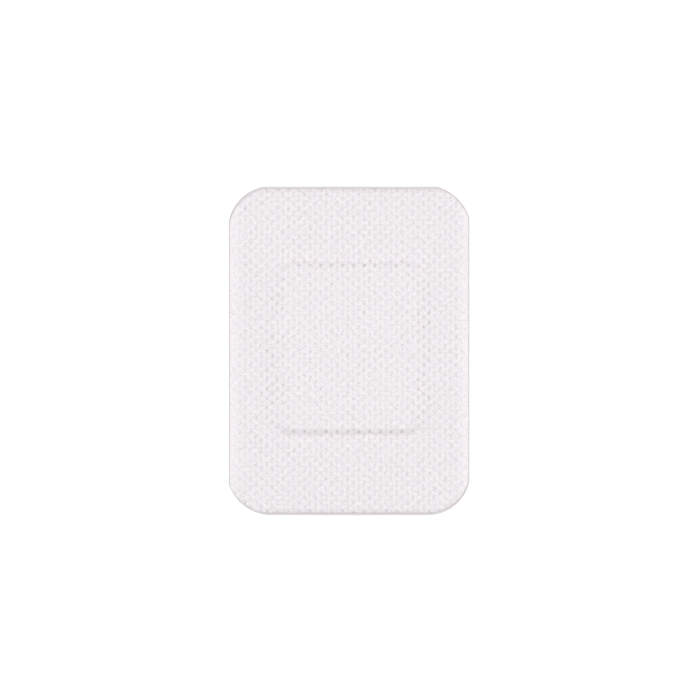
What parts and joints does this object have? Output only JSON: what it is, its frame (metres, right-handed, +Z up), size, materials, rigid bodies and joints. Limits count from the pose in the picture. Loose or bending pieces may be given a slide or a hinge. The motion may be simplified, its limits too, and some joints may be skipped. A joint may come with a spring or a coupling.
{
  "type": "adhesive wound dressing",
  "caption": "Small island dressing: a woven-look adhesive fabric tented over an absorbent pad, backed by overlapping release papers.",
  "frame": {"origin": "on the surface that the dressing lies on, under the centre of the release papers", "axes": "+Y along the dressing's length, +X across it, +Z up from the release papers to the backing fabric"},
  "size_m": [0.06, 0.082, 0.0021],
  "materials": {
    "backing_fabric": "matt white non-woven, embossed like a plain weave",
    "absorbent_felt": "soft needled felt",
    "contact_film": "thin perforated film, slight sheen",
    "release_paper": "smooth siliconised paper, slight sheen"
  },
  "bodies": {
    "root": {"backing_fabric": "backing_fabric", "absorbent_pad": "absorbent_felt", "wound_contact_film": "contact_film", "release_paper_left": "release_paper", "release_paper_right": "release_paper"}
  },
  "joints": []
}
